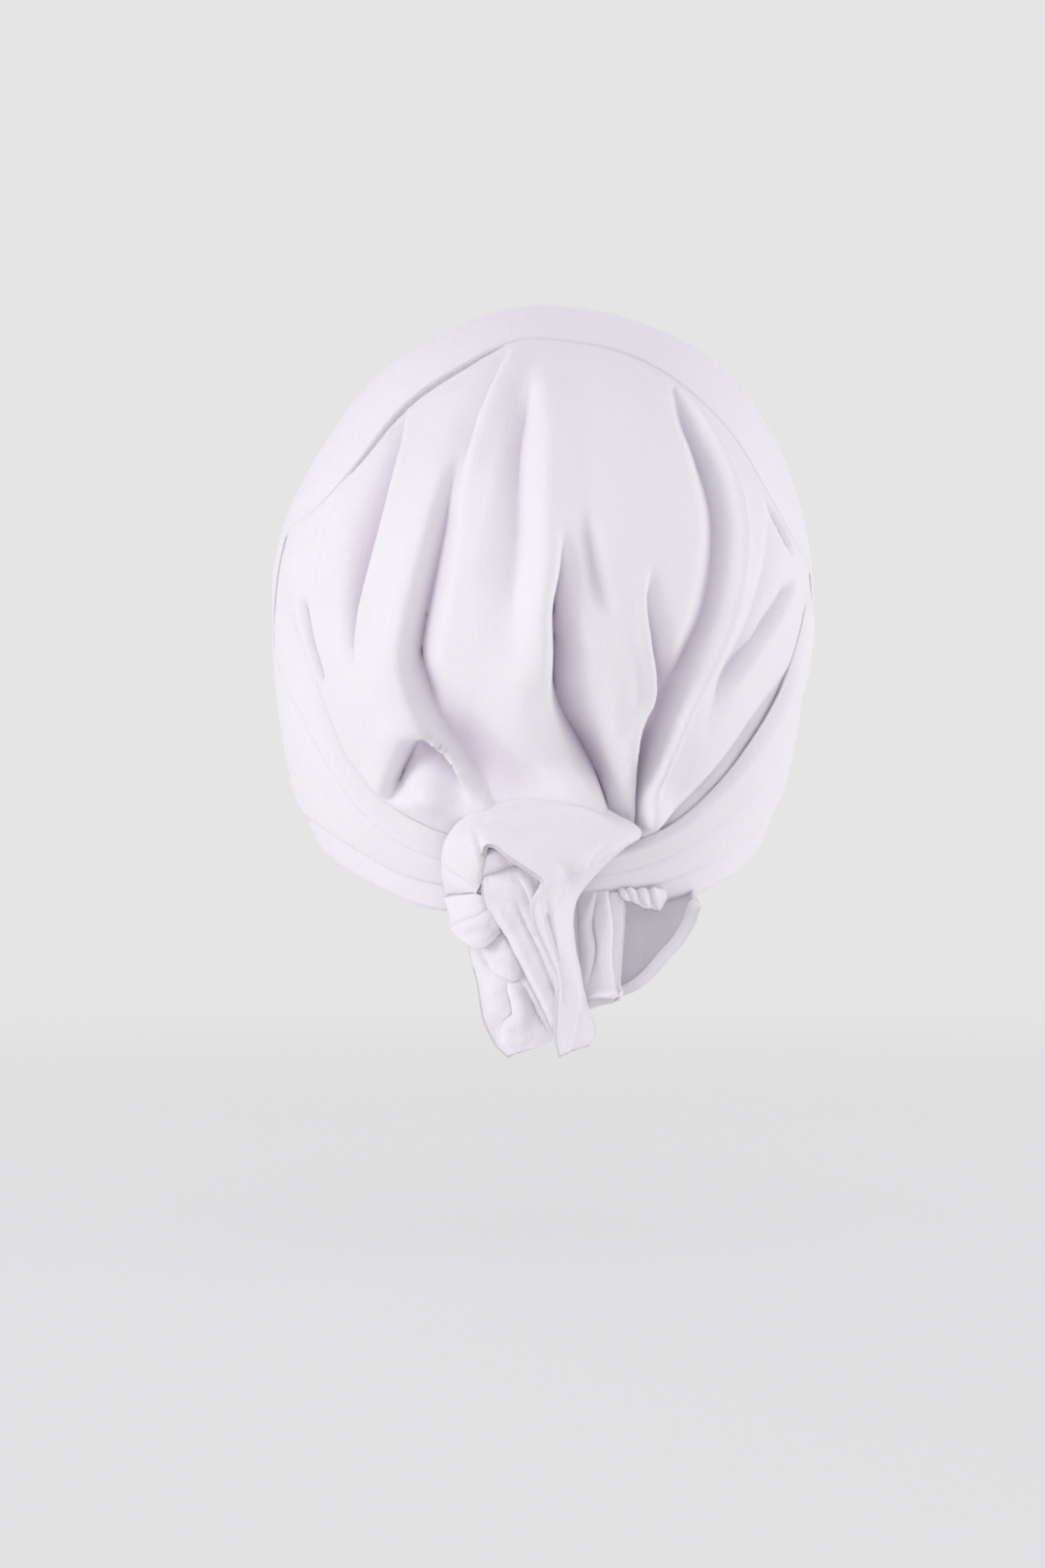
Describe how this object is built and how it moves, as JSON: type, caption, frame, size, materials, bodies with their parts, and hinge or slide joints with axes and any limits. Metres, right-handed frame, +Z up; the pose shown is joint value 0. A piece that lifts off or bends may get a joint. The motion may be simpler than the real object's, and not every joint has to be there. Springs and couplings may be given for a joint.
{
  "type": "tied hair bonnet",
  "caption": "Soft jersey hair bonnet: smooth front panel, gathered back panel and pleated ties knotted at the nape in a half-bow with hanging tails.",
  "frame": {"origin": "the top of the wearer's head, where the inside of the crown rests on it", "axes": "+Z up, -Y the way the wearer faces, +X towards the wearer's left; the knot is at the back, towards +Y"},
  "size_m": [0.1947, 0.2115, 0.2622],
  "materials": {
    "jersey_front_panel": "matt cotton jersey knit, white with a faint lavender cast",
    "jersey_back_panel": "matt cotton jersey knit, white with a faint lavender cast",
    "jersey_tie_left": "matt cotton jersey knit, white with a faint lavender cast",
    "jersey_tie_right": "matt cotton jersey knit, white with a faint lavender cast",
    "jersey_knot_core": "matt cotton jersey knit, white with a faint lavender cast",
    "jersey_knot_wrap": "matt cotton jersey knit, white with a faint lavender cast",
    "jersey_knot_band": "matt cotton jersey knit, white with a faint lavender cast",
    "jersey_tail_middle": "matt cotton jersey knit, white with a faint lavender cast",
    "jersey_tail_left": "matt cotton jersey knit, white with a faint lavender cast",
    "jersey_knot_loop": "matt cotton jersey knit, white with a faint lavender cast"
  },
  "bodies": {
    "root": {"front_panel": "jersey_front_panel", "back_panel": "jersey_back_panel", "tie_left": "jersey_tie_left", "tie_right": "jersey_tie_right", "knot_core": "jersey_knot_core", "knot_wrap": "jersey_knot_wrap", "knot_band": "jersey_knot_band", "tail_middle": "jersey_tail_middle", "tail_left": "jersey_tail_left", "knot_loop": "jersey_knot_loop"}
  },
  "joints": []
}
